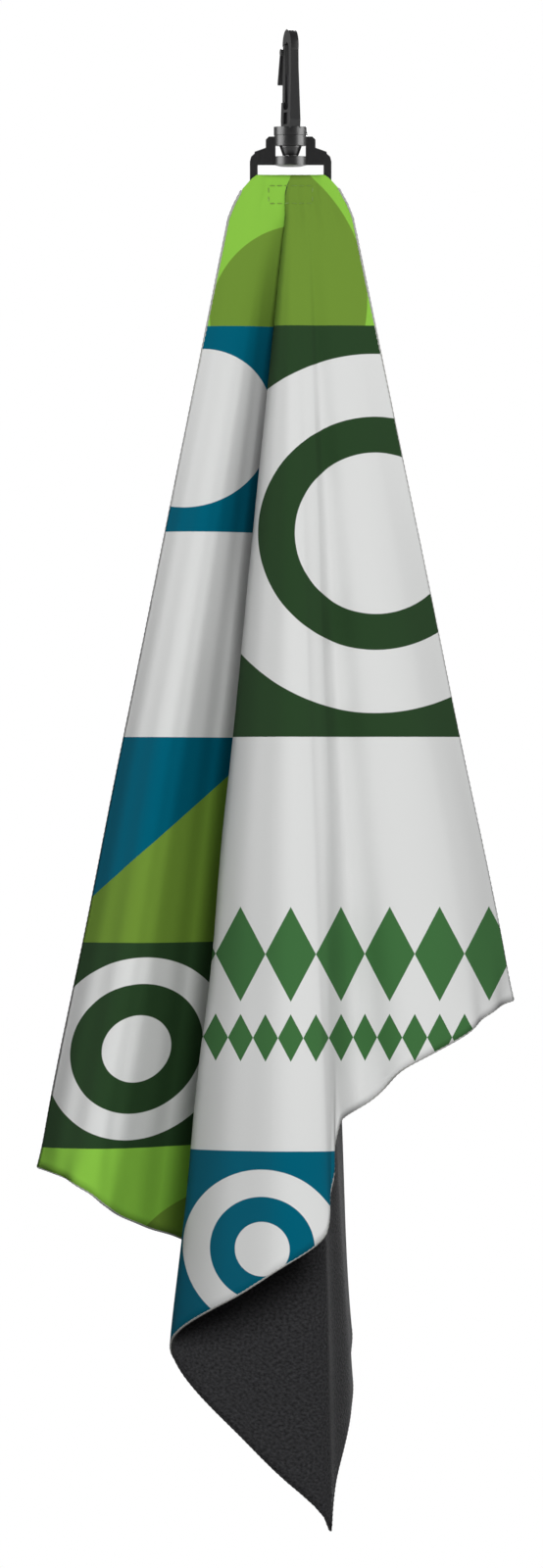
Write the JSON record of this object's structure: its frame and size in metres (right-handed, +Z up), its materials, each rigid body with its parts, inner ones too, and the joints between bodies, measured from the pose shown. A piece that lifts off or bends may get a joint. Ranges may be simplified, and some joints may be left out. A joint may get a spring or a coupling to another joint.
{
  "type": "golf towel with swivel snap hook",
  "caption": "Draped printed towel hung by one corner from a plastic swivel snap hook with a sprung gate.",
  "frame": {"origin": "centre of the hook's eye, on the swivel axis", "axes": "+Z up along the swivel axis, the towel's printed side faces -Y, +X to the right seen from its front"},
  "size_m": [0.2152, 0.1362, 0.6707],
  "materials": {
    "hook_plastic": "satin",
    "gate_plastic": "satin",
    "pin_steel": "brushed",
    "spring_steel": "polished",
    "base_plastic": "satin",
    "printed_polyester": "woven",
    "charcoal_terry": "looped pile",
    "hem_thread": "overlocked",
    "stitch_thread": "thread"
  },
  "bodies": {
    "hook": {"hook_body": "hook_plastic", "gate_pin": "pin_steel", "gate_spring": "spring_steel"},
    "gate": {"gate_lever": "gate_plastic"},
    "base": {"swivel_base": "base_plastic"},
    "towel": {"face_cloth": "printed_polyester", "terry_back": "charcoal_terry", "edge_hem": "hem_thread", "corner_stitch": "stitch_thread"}
  },
  "joints": [
    {"name": "gate_hinge", "type": "hinge", "parent": "hook", "child": "gate", "pos_m": [-0.00153, 0.0057, -0.0257], "axis": [0.9659, 0.2588, 0], "range_deg": [0, 12], "stiffness_Nm_per_rad": 0.02, "deforming": ["gate_spring"]},
    {"name": "base_swivel", "type": "hinge", "parent": "hook", "child": "base", "pos_m": [0, 0, -0.0404], "axis": [0, 0, 1], "continuous": true},
    {"name": "towel_swing", "type": "hinge", "parent": "base", "child": "towel", "pos_m": [0, 0, -0.0583], "axis": [1, 0, 0], "range_deg": [-70, 70]}
  ]
}
